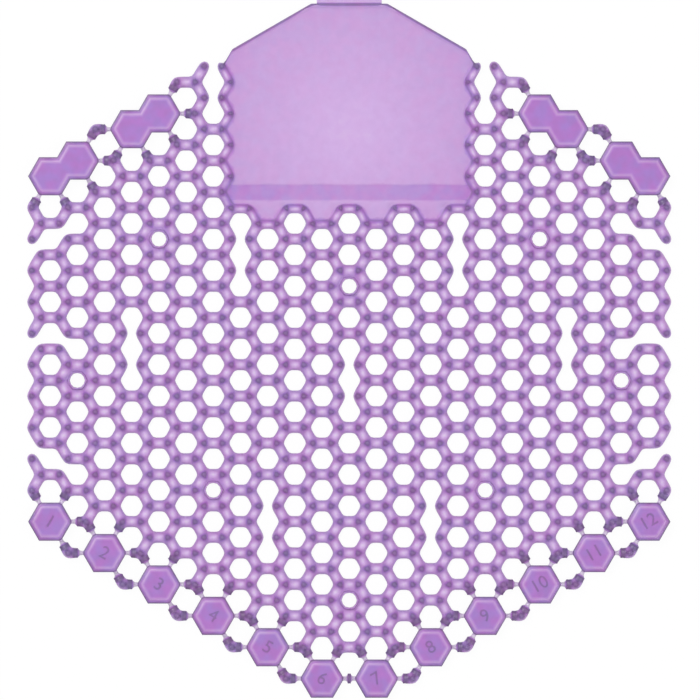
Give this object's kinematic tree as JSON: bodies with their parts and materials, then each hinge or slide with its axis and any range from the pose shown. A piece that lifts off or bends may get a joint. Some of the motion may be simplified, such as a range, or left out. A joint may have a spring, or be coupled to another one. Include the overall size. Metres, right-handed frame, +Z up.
{
  "type": "urinal deodorizer screen",
  "caption": "Flexible hexagonal honeycomb screen with a splash point on each joint, a solid grip plate, tear-off tabs and drain slots.",
  "frame": {"origin": "middle of the flat moulded back, on the surface that the screen lies on", "axes": "+Z up out of the ridged front, +Y towards the grip plate, +X to the right when the plate is at the top"},
  "size_m": [0.184, 0.2004, 0.004],
  "materials": {
    "scented_plastic": "translucent lilac scented moulding, softly glossy"
  },
  "bodies": {
    "root": {"screen": "scented_plastic"}
  },
  "joints": []
}
